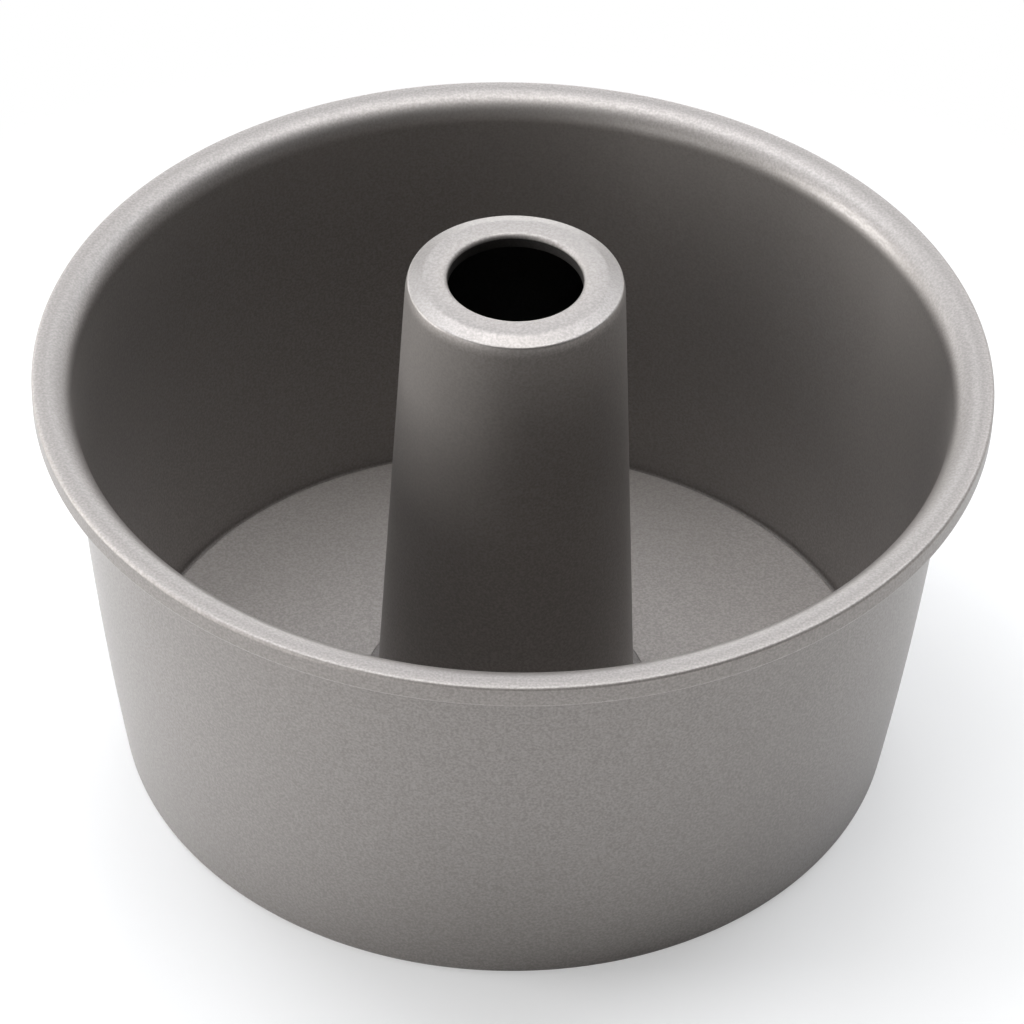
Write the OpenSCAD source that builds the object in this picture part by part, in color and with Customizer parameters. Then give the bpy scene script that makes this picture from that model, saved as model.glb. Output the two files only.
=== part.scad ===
// Angel food cake pan with a loose base. A tall drawn side wall has a flat rim with a turned-down
// edge and a narrow foot ledge. A round base plate drops onto the ledge, and a tapered centre tube,
// open at both ends, is clinched through the plate. Plate and tube lift out together with the cake.
// Millimetres, +Z up, origin at the middle of the face that rests on the table.

/* [Overall] */
// Outside diameter over the turned-down edge of the rim
rim_d = 254; // [200:1:300]
// Height from the table to the flat top of the rim
pan_h = 122; // [90:1:160]
// Sheet thickness of the side wall and the base plate
sheet = 0.8; // [0.6:0.1:1.2]

/* [Rim] */
// Width from the outside of the rim to the start of the bend into the wall
flange_w = 3.1; // [2.5:0.1:6]
// Radius of the wide bend from the flat of the rim down into the wall
mouth_bend_r = 7.6; // [4:0.2:9]
// Height of the turned-down edge, from the flat of the rim to its lowest point
lip_depth = 6.2; // [4.5:0.1:9]
// Inside radius of the corner between the flat of the rim and its turned-down edge
lip_corner_inner_r = 0.8; // [0.3:0.1:1.4]
// Inside radius of the curl that takes the cut edge in under the rim
curl_inner_r = 0.2; // [0.1:0.1:0.4]
// Height of the cut edge above the middle of the curl
curl_leg = 0.8; // [0.4:0.1:1]

/* [Wall] */
// Slope of the wall from upright, in degrees, just under the rim
draft_at_rim = 2.6; // [1.5:0.1:4.5]
// Slope of the wall from upright, in degrees, just above the foot
draft_at_foot = 8; // [5:0.1:10]

/* [Foot ledge] */
// Inside radius of the bend from the wall in to the ledge
foot_bend_inner_r = 1.7; // [1:0.1:4]
// Width of the flat ledge that the base plate rests on
ledge_w = 10; // [7:0.5:20]

/* [Base plate] */
// Radial clearance between the flat of the plate's hem and the start of the foot bend
hem_clearance = 0.15; // [0.1:0.05:1]
// Width of the hem, the edge of the plate that is folded flat underneath
hem_w = 5; // [3:0.5:6.5]

/* [Centre tube] */
// Height from the table to the flat top of the tube
tube_h = 150.4; // [125:0.2:200]
// Sheet thickness of the tube
tube_sheet = 0.6; // [0.5:0.1:1]
// Outside diameter of the tube where its side would meet the level of its top
tube_top_d = 57.2; // [52:0.2:64]
// Outside diameter of the tube where its side would meet the cake side of the base plate
tube_foot_d = 72.4; // [68:0.2:90]
// Radius of the easy bend from the flat of the tube's top into the sloping band around it
shoulder_bend_r = 4; // [2:0.2:6]
// Length of the sloping band, between its two bends
shoulder_w = 2.5; // [1:0.1:4]
// Slope of the band, in degrees
shoulder_slope = 20; // [10:1:30]
// Inside radius of the bend from the sloping band into the side of the tube
tube_edge_inner_r = 1.6; // [0.4:0.1:2.4]
// Diameter of the hole in the top of the tube
hole_d = 35.6; // [28:0.2:40]
// Depth of the collar that is turned down around the hole
collar_depth = 4; // [3:0.5:8]
// Inside radius of the bend at the top of the collar
collar_inner_r = 0.9; // [0.5:0.1:1.5]

/* [Clinch of tube and plate] */
// Radius of the fillet between the tube and the bead at its foot
foot_fillet_r = 2; // [1:0.5:3]
// How far the bead on the cake side stands out from the tube
bead_w = 4.4; // [4:0.1:8]
// How far the rolled edge under the plate stands out from the neck
roll_w = 4; // [2:0.5:6]
// Radial clearance between the neck of the tube and the hole in the plate
neck_clearance = 0.15; // [0.05:0.05:0.3]

/* [Hidden] */
$fn = 128;

// Steps in a quarter turn of a bend, in a half turn, in the shallow bend of the tube's shoulder, and
// along the bowed wall
quarter_steps = 8;
half_steps = 12;
shoulder_steps = 3;
wall_steps = 12;

// Finish: a grey metallic coating, alike on all three pieces
coating_shares = [0.53, 0.51, 0.50];
tube_coating_shares = [0.58, 0.56, 0.55];

// Rim: the outer radii of its two tight bends
rim_r = rim_d / 2;
lip_corner_r = lip_corner_inner_r + sheet;
curl_r = curl_inner_r + sheet;
curl_z = pan_h - lip_depth + curl_r;

// Wall: the bend at the mouth, and the points where the bowed wall meets its two bends
mouth_centre = [rim_r - flange_w, pan_h - mouth_bend_r];
wall_top = mouth_centre + mouth_bend_r * [-cos(draft_at_rim), sin(draft_at_rim)];
wall_foot_z = sheet + foot_bend_inner_r * (1 - sin(draft_at_foot));
wall_bow_r = (wall_top[1] - wall_foot_z) / (sin(draft_at_foot) - sin(draft_at_rim));
wall_centre = wall_top - wall_bow_r * [cos(draft_at_rim), -sin(draft_at_rim)];
wall_foot = wall_centre + wall_bow_r * [cos(draft_at_foot), -sin(draft_at_foot)];

// Foot ledge: its flat runs inward from the end of the foot bend
foot_centre = wall_foot + foot_bend_inner_r * [-cos(draft_at_foot), sin(draft_at_foot)];
ledge_r = foot_centre[0] - ledge_w;

// Base plate: the hem is two sheets thick and rests on the ledge
seat_z = sheet;
floor_z = seat_z + 2 * sheet;
plate_under_z = floor_z - sheet;
plate_r = foot_centre[0] + sheet - hem_clearance;

// Tube: its side is a straight taper between the two diameters
tube_top_r = tube_top_d / 2;
tube_foot_r = tube_foot_d / 2;
hole_r = hole_d / 2;
taper = atan((tube_foot_r - tube_top_r) / (tube_h - floor_z));
function tube_side_r(z) = tube_foot_r - (z - floor_z) * tan(taper);
tube_edge_r = tube_edge_inner_r + tube_sheet;
shoulder_rise = (shoulder_bend_r - tube_edge_r) * cos(shoulder_slope) - shoulder_w * sin(shoulder_slope);
shoulder_run = (shoulder_bend_r - tube_edge_r) * sin(shoulder_slope) + shoulder_w * cos(shoulder_slope);
tube_edge_z = tube_h - shoulder_bend_r + shoulder_rise;
tube_edge_centre = [tube_side_r(tube_edge_z) - tube_edge_r / cos(taper), tube_edge_z];
shoulder_centre = [tube_edge_centre[0] - shoulder_run, tube_h - shoulder_bend_r];
collar_r = collar_inner_r + tube_sheet;
collar_centre = [hole_r + collar_r, tube_h - collar_r];

// Clinch: a folded bead on the plate, a neck through it and a rolled edge under it
bead_r = tube_foot_r + bead_w;
bead_top_z = floor_z + 2 * tube_sheet;
fillet_z = bead_top_z + foot_fillet_r;
fillet_centre = [tube_side_r(fillet_z) + foot_fillet_r / cos(taper), fillet_z];
neck_inner_r = tube_foot_r - tube_sheet / cos(taper);
neck_r = neck_inner_r + tube_sheet;
roll_r = neck_r + roll_w;
plate_hole_r = neck_r + neck_clearance;

// Points of an arc about a centre, from one angle to another. A skip of 1 leaves out both ends,
// where the neighbouring arcs have the same points.
function arc(centre, r, from, to, steps, skip = 0) = [
    for (i = [skip : steps - skip])
        let (a = from + (to - from) * i / steps)
            centre + r * [cos(a), sin(a)]
];

function reversed(points) = [for (i = [len(points) - 1 : -1 : 0]) points[i]];

// One face of the side wall's sheet, at a depth below its cake side: from the cut edge inside the
// rim, round the curl, over the rim, down the wall and in along the ledge.
function wall_face(depth) = concat(
    [[rim_r - 2 * curl_r + depth, curl_z + curl_leg]],
    arc([rim_r - curl_r, curl_z], curl_r - depth, 180, 360, half_steps),
    arc([rim_r - lip_corner_r, pan_h - lip_corner_r], lip_corner_r - depth, 0, 90, quarter_steps),
    arc(mouth_centre, mouth_bend_r - depth, 90, 180 - draft_at_rim, quarter_steps),
    arc(wall_centre, wall_bow_r + depth, -draft_at_rim, -draft_at_foot, wall_steps, 1),
    arc(foot_centre, foot_bend_inner_r + depth, -draft_at_foot, -90, quarter_steps),
    [[ledge_r, sheet - depth]]
);

module side_wall() {
    color(coating_shares)
        rotate_extrude()
            polygon(concat(wall_face(0), reversed(wall_face(sheet))));
}

// A flat disc with its edge folded under: the fold is a closed half round, two sheets thick.
module base_plate() {
    color(coating_shares)
        rotate_extrude()
            polygon(concat(
                [[plate_hole_r, floor_z]],
                arc([plate_r - sheet, floor_z - sheet], sheet, 90, -90, half_steps),
                [[plate_r - hem_w, seat_z], [plate_r - hem_w, plate_under_z], [plate_hole_r, plate_under_z]]
            ));
}

// The outside of the tube, from the edge of the bead up the side and down into the collar.
function tube_outside() = concat(
    arc([bead_r - tube_sheet, floor_z + tube_sheet], tube_sheet, -90, 90, half_steps),
    arc(fillet_centre, foot_fillet_r, 270, 180 + taper, quarter_steps),
    arc(tube_edge_centre, tube_edge_r, taper, 90 - shoulder_slope, quarter_steps),
    arc(shoulder_centre, shoulder_bend_r, 90 - shoulder_slope, 90, shoulder_steps),
    arc(collar_centre, collar_r, 90, 180, quarter_steps),
    [[hole_r, tube_h - collar_depth]]
);

// The inside of the tube, from the end of the collar down the side and out under the plate.
function tube_inside() = concat(
    [[hole_r + tube_sheet, tube_h - collar_depth]],
    arc(collar_centre, collar_inner_r, 180, 90, quarter_steps),
    arc(shoulder_centre, shoulder_bend_r - tube_sheet, 90, 90 - shoulder_slope, shoulder_steps),
    arc(tube_edge_centre, tube_edge_inner_r, 90 - shoulder_slope, taper, quarter_steps),
    [[neck_inner_r, floor_z]],
    arc([neck_r, plate_under_z], tube_sheet, 180, 270, quarter_steps),
    [[roll_r, plate_under_z - tube_sheet], [roll_r, plate_under_z], [neck_r, plate_under_z], [neck_r, floor_z]]
);

module centre_tube() {
    color(tube_coating_shares)
        rotate_extrude()
            polygon(concat(tube_outside(), tube_inside()));
}

side_wall();
base_plate();
centre_tube();
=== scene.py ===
# Angel food cake pan with a loose base, in satin grey non-stick metal. The tall side wall, the base
# plate and the centre tube are turned surfaces in metres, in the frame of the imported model.
import math

import bpy
import numpy as np
from mathutils import Matrix, Vector


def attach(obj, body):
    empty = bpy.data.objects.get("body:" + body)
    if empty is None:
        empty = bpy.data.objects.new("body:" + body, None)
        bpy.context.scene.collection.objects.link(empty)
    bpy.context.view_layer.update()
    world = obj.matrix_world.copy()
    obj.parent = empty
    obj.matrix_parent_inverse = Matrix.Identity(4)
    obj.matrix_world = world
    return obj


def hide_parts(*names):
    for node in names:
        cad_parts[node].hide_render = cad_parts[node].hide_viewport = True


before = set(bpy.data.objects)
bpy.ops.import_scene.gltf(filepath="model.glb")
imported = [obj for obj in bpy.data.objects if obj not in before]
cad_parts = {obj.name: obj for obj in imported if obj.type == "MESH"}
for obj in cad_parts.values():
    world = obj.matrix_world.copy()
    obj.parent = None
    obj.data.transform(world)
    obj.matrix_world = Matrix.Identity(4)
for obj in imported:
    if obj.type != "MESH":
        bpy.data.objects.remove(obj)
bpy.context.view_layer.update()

# Side wall: one deep-drawn steel sheet. It has a flat rim with a turned-down edge and a hidden curl,
# a slightly bowed wall and a narrow ledge at the foot, and is coated on both faces.
sheet = 0.0008
rim_r, rim_z = 0.127, 0.122
lip_corner_r = 0.0010
lip_corner_centre = (rim_r - lip_corner_r, rim_z - lip_corner_r)
curl_r, curl_z, cut_edge_z = 0.001, 0.1168, 0.1176
curl_centre = (rim_r - curl_r, curl_z)
mouth_centre, mouth_bend_r = (0.1239, 0.1144), 0.0076
draft_at_rim, draft_at_foot = 2.6, 8.0
foot_bend_r, ledge_w = 0.0017, 0.01
rim_lean, foot_lean = np.radians([draft_at_rim, draft_at_foot])
bow_top = (
    mouth_centre[0] - mouth_bend_r * np.cos(rim_lean),
    mouth_centre[1] + mouth_bend_r * np.sin(rim_lean))
bow_foot_z = sheet + foot_bend_r * (1 - np.sin(foot_lean))
bow_r = (bow_top[1] - bow_foot_z) / (np.sin(foot_lean) - np.sin(rim_lean))
bow_centre = (bow_top[0] - bow_r * np.cos(rim_lean), bow_top[1] + bow_r * np.sin(rim_lean))
foot_centre = (
    bow_centre[0] + (bow_r - foot_bend_r) * np.cos(foot_lean),
    bow_centre[1] - (bow_r - foot_bend_r) * np.sin(foot_lean))
ledge_r = foot_centre[0] - ledge_w


def bend(centre, radius, first, last, steps):
    """Points of an arc: centre + radius * (cos a, sin a), with the angle a going from first to last, in
    degrees, in that many even steps."""
    a = np.radians(np.linspace(first, last, steps + 1))
    return np.column_stack([centre[0] + radius * np.cos(a), centre[1] + radius * np.sin(a)])


def wall_face(depth):
    """One face of the wall's sheet, at a depth below its cake side: the curl under the rim, the corner
    of the rim, the bend at the mouth, the bowed wall, the bend at the foot and the ledge."""
    return np.vstack([
        [[rim_r - 2 * curl_r + depth, cut_edge_z]],
        bend(curl_centre, curl_r - depth, 180, 360, 14),
        bend(lip_corner_centre, lip_corner_r - depth, 0, 90, 12),
        bend(mouth_centre, mouth_bend_r - depth, 90, 180 - draft_at_rim, 32),
        bend(bow_centre, bow_r + depth, -draft_at_rim, -draft_at_foot, 18)[1:-1],
        bend(foot_centre, foot_bend_r + depth, -draft_at_foot, -90, 14),
        [[ledge_r, sheet - depth]],
    ])


def guarded(loop, guard=0.00012, sharp=1.0):
    """A closed outline with a point added one guard away from each corner that turns by over sharp
    degrees, on a stretch over five guards long, so that a bend's smooth shading stays off the flat."""
    run = np.roll(loop, -1, axis=0) - loop
    length = np.linalg.norm(run, axis=1)
    way = run / length[:, None]
    turn = np.degrees(np.arccos(np.clip(np.sum(way * np.roll(way, 1, axis=0), axis=1), -1, 1)))
    long, corner = length > 5 * guard, turn > sharp
    points = np.stack([loop, loop + way * guard, loop + run - way * guard], axis=1)
    keep = np.column_stack([np.ones(len(loop), bool), long & corner, long & np.roll(corner, -1)])
    return points[keep]


def turned(name, outline, marks, turns=360):
    """The closed outline (r, z) turned about the Z axis: point (i, j) is (r_j cos t_i, r_j sin t_i, z_j)
    at the angle t_i = 360 i / turns. Each mark is a value kept at every point: 1 at the mark's own points
    of the outline, and exp(-(distance / reach) ** 2) at a distance from them."""
    loop = guarded(outline)
    # An outline that runs clockwise is turned round, so that the faces point outwards.
    signed_area = np.sum(loop[:, 0] * np.roll(loop[:, 1], -1) - np.roll(loop[:, 0], -1) * loop[:, 1])
    if signed_area < 0:
        loop = loop[::-1]
    t = np.linspace(0, 2 * math.pi, turns, endpoint=False)[:, None]
    r, z = loop[None, :, 0], loop[None, :, 1]
    points = np.stack([r * np.cos(t), r * np.sin(t), np.broadcast_to(z, (turns, len(loop)))], axis=2)
    here = np.arange(turns * len(loop)).reshape(turns, len(loop))
    ahead, up = np.roll(here, -1, axis=0), np.roll(here, -1, axis=1)
    faces = np.stack([here, ahead, np.roll(ahead, -1, axis=1), up], axis=2).reshape(-1, 4)
    mesh = bpy.data.meshes.new(name)
    mesh.from_pydata(points.reshape(-1, 3), [], faces)
    mesh.polygons.foreach_set("use_smooth", np.ones(len(faces), dtype=bool))
    for mark, (marked, reach) in marks.items():
        away = np.linalg.norm(loop[:, None, :] - np.asarray(marked)[None, :, :], axis=2).min(axis=1)
        value = mesh.attributes.new(mark, "FLOAT", "POINT")
        value.data.foreach_set("value", np.tile(np.exp(-(away / reach) ** 2), turns).astype(np.float32))
    piece = bpy.data.objects.new(name, mesh)
    bpy.context.scene.collection.objects.link(piece)
    return piece


class Channel:
    """A socket in a material's nodes. Arithmetic on it adds the Math nodes that work it out."""

    def __init__(self, tree, socket=None):
        self.tree, self.socket = tree, socket

    def node(self, kind, settings=None, inputs=None, output=0):
        """Adds a node: its settings first, a ramp's stops among them, then its sockets' values or links."""
        made = self.tree.nodes.new(kind)
        for key, value in (settings or {}).items():
            if key == "stops":
                ramp = made.color_ramp.elements
                for index, (at, tone) in enumerate(value):
                    stop = ramp[index] if index < 2 else ramp.new(at)
                    stop.position, stop.color = at, (tone, tone, tone, 1)
            else:
                setattr(made, key, value)
        for key, value in (inputs or {}).items():
            if isinstance(value, Channel):
                self.tree.links.new(value.socket, made.inputs[key])
            else:
                made.inputs[key].default_value = value
        return Channel(self.tree, made.outputs[output] if made.outputs else None)

    def smooth_step(self, start, end, before, after):
        """A value that goes smoothly from one number, up to the start, to another, from the end on."""
        return self.node("ShaderNodeMapRange", {"interpolation_type": "SMOOTHSTEP"}, {
            "Value": self, "From Min": start, "From Max": end, "To Min": before, "To Max": after})

    def arithmetic(self, operation, a, b):
        return self.node("ShaderNodeMath", {"operation": operation}, {0: a, 1: b})

    def __add__(self, other):
        return self.arithmetic("ADD", self, other)

    def __mul__(self, other):
        return self.arithmetic("MULTIPLY", self, other)

    def __sub__(self, other):
        return self.arithmetic("SUBTRACT", self, other)

    def __rsub__(self, other):
        return self.arithmetic("SUBTRACT", other, self)

    __radd__, __rmul__ = __add__, __mul__


def bare_material(name):
    """A new material with no nodes yet, and a channel that adds them."""
    material = bpy.data.materials.new(name)
    material.use_nodes = True
    material.node_tree.nodes.clear()
    return material, Channel(material.node_tree)


coating_colour = (0.305, 0.284, 0.269)
between_flakes = 0.91
flake_scale, grain_scale, cloud_scale = 1500, 2600, 24
flake_edges = [(0.36, 0.0), (0.66, 1.0)]
flakes_lighten, clouds_lighten, edge_highlight_lightens, hollow_shade_darkens = 0.18, 0.08, 0.25, 0.8
coating_roughness, flakes_smooth, clouds_roughen = 0.70, 0.12, 0.06
grain_strength, grain_height = 0.12, 0.00012
clear_coat, clear_coat_roughness = 0.65, 0.35


def coating(name, tone=1.0, drawn_smooth=0.12, painted_foot_shade=None):
    """Satin grey metallic non-stick coating: a fine speckle of lighter flakes, soft clouding, a grain in
    the surface, a painted highlight on the marked edges, a smoother surface and a painted highlight on
    the marked bends, and painted shade on the faces inside the tube. Tone scales the colour. The marked
    bends lose the given amount of their roughness, and are painted lighter by half as much. The painted
    foot shade darkens the foot: its numbers are the share, the height up to which the foot has all of
    it, and the height where it ends."""
    material, start = bare_material(name)
    place = start.node("ShaderNodeTexCoord", output="Object")
    edge_highlight, drawn, hollow_shade = (
        start.node("ShaderNodeAttribute", {"attribute_name": mark}, output="Fac")
        for mark in ("edge_highlight", "drawn", "hollow_shade"))

    def noise(scale, detail):
        return start.node("ShaderNodeTexNoise", inputs={"Vector": place, "Scale": scale, "Detail": detail})

    flakes, grain, clouds = noise(flake_scale, 2), noise(grain_scale, 1), noise(cloud_scale, 3)
    speckle = flakes.node("ShaderNodeValToRGB", {"stops": flake_edges}, {"Fac": flakes})
    cloud = clouds - 0.5
    shade = between_flakes + speckle * flakes_lighten + cloud * clouds_lighten
    # The marked edges and bends are painted lighter as highlights, and the marked faces inside the tube are
    # painted darker as shade.
    shade = (shade + edge_highlight * edge_highlight_lightens + drawn * (drawn_smooth / 2)) * (1 - hollow_shade * hollow_shade_darkens)
    # Painted shade at the foot: the colour is darker towards the bottom.
    if painted_foot_shade:
        share, full_to, none_from = painted_foot_shade
        height = place.node("ShaderNodeSeparateXYZ", inputs={0: place}, output="Z")
        shade = shade * (1 - height.smooth_step(full_to, none_from, share, 0.0))
    base = tuple(part * tone for part in coating_colour)
    colour = shade.node("ShaderNodeVectorMath", {"operation": "SCALE"}, {0: base, "Scale": shade})
    rough = coating_roughness - speckle * flakes_smooth + cloud * clouds_roughen - drawn * drawn_smooth
    bump = grain.node("ShaderNodeBump", inputs={
        "Strength": grain_strength, "Distance": grain_height, "Height": grain + flakes})
    shader = colour.node("ShaderNodeBsdfPrincipled", inputs={
        "Base Color": colour, "Metallic": 1.0, "Roughness": rough, "Normal": bump,
        "Coat Weight": clear_coat, "Coat Roughness": clear_coat_roughness})
    shader.node("ShaderNodeOutputMaterial", inputs={"Surface": shader})
    return material


# Painted highlights along the rim's outer corner and along the bottom of the curl under it.
wall_edge_highlights = np.vstack([
    bend(lip_corner_centre, lip_corner_r, 20, 80, 6),
    bend(curl_centre, curl_r, 290, 340, 4)])
# The mouth's bend is smoother, with a painted highlight along it.
wall_drawn = bend(mouth_centre, mouth_bend_r, 100, 170, 30)
wall_edge_highlight_reach, wall_drawn_reach = 0.0004, 0.0010
side_wall = turned(
    "side_wall_shell", np.vstack([wall_face(0), wall_face(sheet)[::-1]]),
    marks={"edge_highlight": (wall_edge_highlights, wall_edge_highlight_reach), "drawn": (wall_drawn, wall_drawn_reach)})
side_wall.data.materials.append(coating("satin_coating_wall", drawn_smooth=0.09))
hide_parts("side_wall")
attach(side_wall, "outer_pan")

# Base plate: a flat disc of the same coated sheet that drops onto the ledge. Its edge is folded flat
# underneath as a hem, which stiffens it and hides the cut edge.
plate_top_z = 0.0024
plate_under_z = plate_top_z - sheet
hem_w, hem_clearance = 0.005, 0.00015
plate_r = foot_centre[0] + sheet - hem_clearance
plate_hole_r = 0.036349
plate_edge_highlight_reach = 0.0007
base_plate = turned(
    "base_plate_disc",
    np.vstack([
        [[plate_hole_r, plate_top_z]],
        bend((plate_r - sheet, plate_top_z - sheet), sheet, 90, -90, 24),
        [[plate_r - hem_w, sheet], [plate_r - hem_w, plate_under_z], [plate_hole_r, plate_under_z]],
    ]),
    # A painted highlight along the plate's folded edge.
    marks={"edge_highlight": ([(plate_r, plate_top_z - sheet)], plate_edge_highlight_reach)})
# The plate's coating is the wall's, painted 17 percent lighter to stand in for the light on the pan's
# floor.
base_plate.data.materials.append(coating("satin_coating_plate", tone=1.17))
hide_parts("base_plate")
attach(base_plate, "tube_insert")

# Centre tube: a tapered tube drawn from thinner sheet and open at both ends. Its flat top has a sloping
# band round it, and a collar turned down round the hole. A folded bead above the plate and a rolled edge
# below clinch it on.
tube_sheet = 0.0006
tube_z = 0.1504
tube_foot_r, taper = 0.0362, 2.9396
easy_r, easy_end = 0.012, 17.0
top_edge_r = 0.0009
shoulder_slope = 20.0
shoulder_centre, shoulder_r = (0.0235947, 0.1464), 0.004
collar_centre, collar_r, collar_depth = (0.0193, 0.1489), 0.0015, 0.004
collar_foot_z = tube_z - collar_depth
hole_r = collar_centre[0] - collar_r
bead_r = 0.0406
fillet_centre, fillet_r = (0.038038, 0.0056), 0.002
neck_inner_r, neck_r, roll_r = 0.035599, 0.036199, 0.040199


def shoulder_bends():
    """Centres of the two bends that lead from the tube's straight side to the sloping band. The easy bend
    touches the side's line and the tight one the band's line, so each centre lies one radius inside its
    line. The bends touch each other at the angle easy_end, so easy_r - top_edge_r parts their centres."""
    out, up, meet = (
        np.array([np.cos(angle), np.sin(angle)])
        for angle in np.radians([taper, 90 - shoulder_slope, easy_end]))
    between = (easy_r - top_edge_r) * meet
    easy = np.linalg.solve([out, up], [
        out @ (tube_foot_r, plate_top_z) - easy_r,
        up @ shoulder_centre + shoulder_r - top_edge_r - up @ between])
    return easy, easy + between


easy_centre, top_edge_centre = shoulder_bends()
tube_outside = np.vstack([
    bend((bead_r - tube_sheet, plate_top_z + tube_sheet), tube_sheet, -90, 90, 20),
    bend(fillet_centre, fillet_r, 270, 180 + taper, 16),
    bend(easy_centre, easy_r, taper, easy_end, 16),
    bend(top_edge_centre, top_edge_r, easy_end, 90 - shoulder_slope, 16)[1:],
    bend(shoulder_centre, shoulder_r, 90 - shoulder_slope, 90, 10),
    bend(collar_centre, collar_r, 90, 180, 20),
    [[hole_r, collar_foot_z]],
])
tube_inside = np.vstack([
    [[hole_r + tube_sheet, collar_foot_z]],
    bend(collar_centre, collar_r - tube_sheet, 180, 90, 20),
    bend(shoulder_centre, shoulder_r - tube_sheet, 90, 90 - shoulder_slope, 8),
    bend(top_edge_centre, top_edge_r - tube_sheet, 90 - shoulder_slope, easy_end, 12),
    bend(easy_centre, easy_r - tube_sheet, easy_end, taper, 12)[1:],
    [[neck_inner_r, plate_top_z]],
    bend((neck_r, plate_under_z), tube_sheet, 180, 270, 12),
    [[roll_r, plate_under_z - tube_sheet], [roll_r, plate_under_z]],
    [[neck_r, plate_under_z], [neck_r, plate_top_z]],
])
# Painted highlights on the top of the collar round the hole and on the folded bead.
tube_edge_highlights = np.vstack([
    bend(collar_centre, collar_r, 90, 130, 5),
    [[bead_r, plate_top_z + tube_sheet]]])
# The bends round the tube's top are smoother, with a painted highlight along them.
tube_drawn = np.vstack([
    bend(top_edge_centre, top_edge_r, 30, 90 - shoulder_slope, 10),
    bend(shoulder_centre, shoulder_r, 90 - shoulder_slope, 85, 4)])
# Painted shade over the whole inside of the tube and the inner face of the collar round the hole.
tube_hollow_shade = np.vstack([tube_inside, [[hole_r, collar_foot_z], [hole_r, collar_centre[1]]]])
tube_edge_highlight_reach, tube_drawn_reach, tube_hollow_shade_reach = 0.0005, 0.0014, 0.0003
# Painted shade on the tube's foot, full up to 35 mm and gone from 95 mm up.
foot_shade_share, foot_shade_full_to, foot_shade_none_from = 0.28, 0.035, 0.095
centre_tube = turned(
    "centre_tube_shell", np.vstack([tube_outside, tube_inside]),
    marks={
        "edge_highlight": (tube_edge_highlights, tube_edge_highlight_reach),
        "drawn": (tube_drawn, tube_drawn_reach),
        "hollow_shade": (tube_hollow_shade, tube_hollow_shade_reach)},
    turns=256)
centre_tube.data.materials.append(
    coating("satin_coating_tube", painted_foot_shade=(foot_shade_share, foot_shade_full_to, foot_shade_none_from)))
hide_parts("centre_tube")
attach(centre_tube, "tube_insert")

# Studio floor: a wide sheet of plain white paper that the pan stands on, level with the foot ledge. It
# is white to the edge of the view, apart from the pan's soft shadow.
floor_half = 30
floor_corners = [
    (-floor_half, -floor_half, 0), (floor_half, -floor_half, 0),
    (floor_half, floor_half, 0), (-floor_half, floor_half, 0)]
floor_mesh = bpy.data.meshes.new("studio_floor")
floor_mesh.from_pydata(floor_corners, [], [(0, 1, 2, 3)])
floor = bpy.data.objects.new("studio_floor", floor_mesh)
bpy.context.scene.collection.objects.link(floor)
paper_colour, paper_roughness = (0.95, 0.95, 0.95, 1), 0.9
white_from, white_all = 0.14, 0.32
least_white = {"Camera": 0.42, "Glossy": 0.05, "Transmission": 0.05}


def white_paper(name):
    """White paper that the camera and the metal see as a white backdrop. A share of the lit paper is
    replaced by plain white. It is least near the pan, where the soft shadow lies, and goes smoothly to
    all of it between two distances from the pan's axis, white_from and white_all (metres)."""
    material, start = bare_material(name)
    place = start.node("ShaderNodeTexCoord", output="Object")
    away = place.node("ShaderNodeVectorMath", {"operation": "LENGTH"}, {0: place}, output="Value")

    def white(kind):
        """The share of plain white that one kind of ray sees."""
        ray = start.node("ShaderNodeLightPath", output=f"Is {kind} Ray")
        return ray * away.smooth_step(white_from, white_all, least_white[kind], 1.0)

    seen = white("Camera") + white("Glossy") + white("Transmission")
    lit_paper = start.node("ShaderNodeBsdfPrincipled", inputs={
        "Base Color": paper_colour, "Roughness": paper_roughness})
    white_glow = start.node("ShaderNodeEmission", inputs={"Color": (1, 1, 1, 1), "Strength": 1.0})
    mixed = start.node("ShaderNodeMixShader", inputs={0: seen, 1: lit_paper, 2: white_glow})
    mixed.node("ShaderNodeOutputMaterial", inputs={"Surface": mixed})
    return material


floor_mesh.materials.append(white_paper("white_paper"))

# Lamps: plain soft boxes, set by the turn from the camera's side and the rise above the floor in degrees,
# with their side in metres and power in watts. Most of the light comes from overhead and the left. The
# middle and high boxes are a little cooler than the plain white ones overhead and low down.
lamp_distance, lamp_aim = 2.2, Vector((0, 0, 0.06))
cool_above, cool_below = 30, 80
cool_white, plain_white = (0.97, 1.0, 1.05), (1, 1, 1)
soft_boxes = {
    "overhead": (0, 90, 1.2, 22.2),
    "high_right": (120, 62, 0.95, 11.6),
    "high_behind": (180, 62, 0.95, 4.9),
    "high_left": (240, 62, 0.95, 15.4),
    "high_front_left": (300, 62, 0.95, 0.6),
    "middle_right": (135, 36, 1.1, 10.0),
    "middle_behind": (180, 36, 1.1, 6.3),
    "middle_behind_left": (225, 36, 1.1, 7.0),
    "middle_left": (270, 36, 1.1, 6.7),
    "low_behind_right": (135, 12, 0.85, 3.1),
    "low_behind": (180, 12, 0.85, 5.7),
    "low_behind_left": (225, 12, 0.85, 7.3),
    "low_left": (270, 12, 0.85, 29.0),
    "low_front_left": (315, 12, 0.85, 9.4),
}
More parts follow.
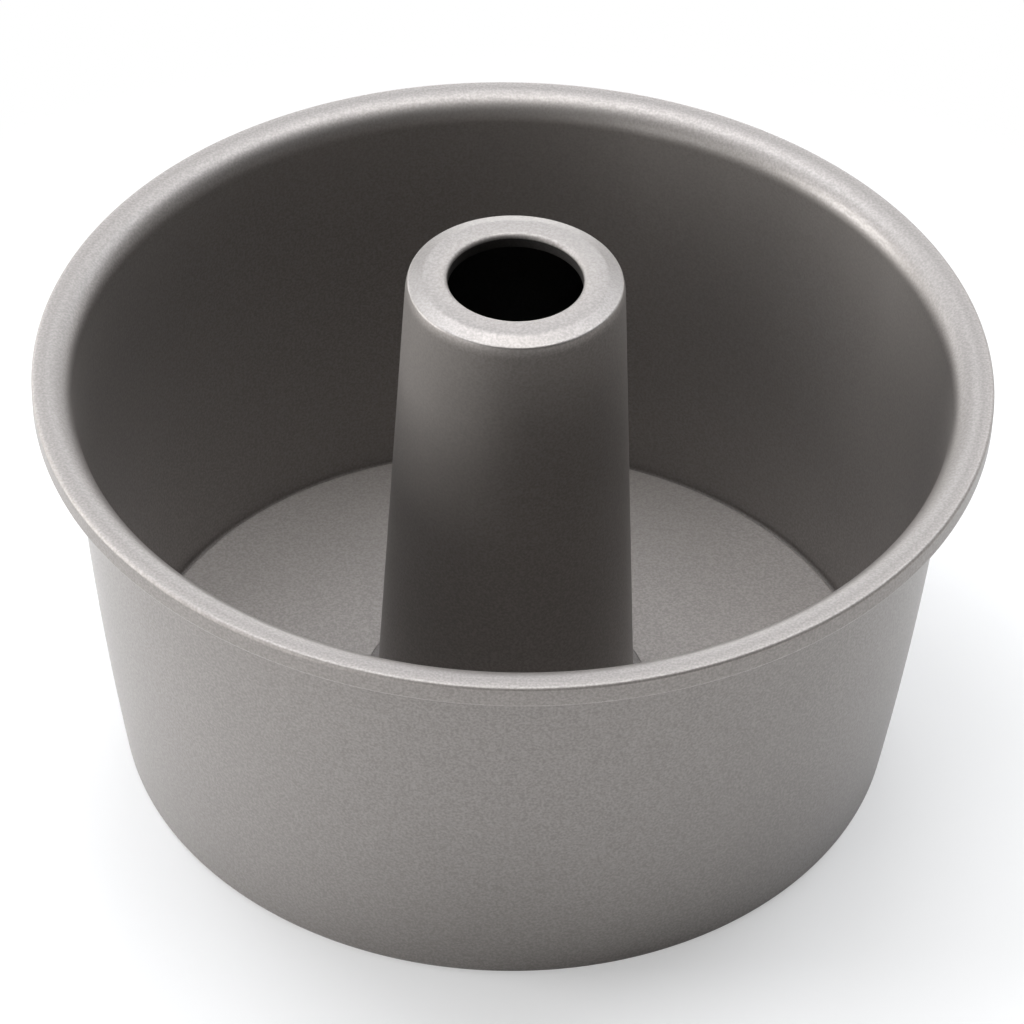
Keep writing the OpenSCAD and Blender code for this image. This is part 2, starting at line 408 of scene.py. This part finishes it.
for box, (turn, rise, side, power) in soft_boxes.items():
    around, above = math.radians(turn), math.radians(rise)
    towards = Vector((
        math.sin(around) * math.cos(above),
        -math.cos(around) * math.cos(above),
        math.sin(above)))
    soft_box = bpy.data.lights.new("soft_box_" + box, "AREA")
    soft_box.shape = "SQUARE"
    soft_box.size = side
    soft_box.energy = power
    soft_box.color = cool_white if cool_above < rise < cool_below else plain_white
    lamp = bpy.data.objects.new("soft_box_" + box, soft_box)
    lamp.location = lamp_aim + towards * lamp_distance
    lamp.rotation_euler = (-towards).to_track_quat("-Z", "Y").to_euler()
    lamp.visible_camera = False
    bpy.context.scene.collection.objects.link(lamp)

# The room: a white backdrop at the floor's level, which fades to a dim room above it. It has its full
# strength behind the pan, and is weaker towards the camera's side.
backdrop_from, backdrop_to, room_strength = 0.10, 0.22, 0.02
front_from, front_to, front_strength = -0.7, 0.3, 0.25
world = bpy.data.worlds.new("room_light")
world.use_nodes = True
world.node_tree.nodes.clear()
room = Channel(world.node_tree)
direction = room.node("ShaderNodeTexCoord", output="Object")
back, upward = (
    room.node("ShaderNodeSeparateXYZ", inputs={0: direction}, output=axis) for axis in ("Y", "Z"))
level_strength = upward.smooth_step(backdrop_from, backdrop_to, 1.0, room_strength)
side_strength = back.smooth_step(front_from, front_to, front_strength, 1.0)
glow = room.node("ShaderNodeBackground", inputs={
    "Color": (1, 1, 1, 1), "Strength": level_strength * side_strength})
room.node("ShaderNodeOutputWorld", inputs={"Surface": glow})
bpy.context.scene.world = world

# Camera: a long lens in front of the pan and about 43 degrees above it, with a slight roll. Its place,
# turn and lens are the ones that were fitted to the photograph's outlines.
camera_data = bpy.data.cameras.new("camera")
camera_data.lens = 163.36
camera_data.sensor_width = 36
camera = bpy.data.objects.new("camera", camera_data)
camera.location = (0, -0.95525, 0.89466)
pitch, yaw, roll = -0.712533, 0.000650, 0.025994
tilt = Matrix.Rotation(math.pi / 2 + pitch, 3, "X")
camera.rotation_euler = (
    Matrix.Rotation(-yaw, 3, "Z") @ tilt @ Matrix.Rotation(roll, 3, "Z")).to_euler()
bpy.context.scene.collection.objects.link(camera)
bpy.context.scene.camera = camera
bpy.context.scene.view_settings.view_transform = "Standard"
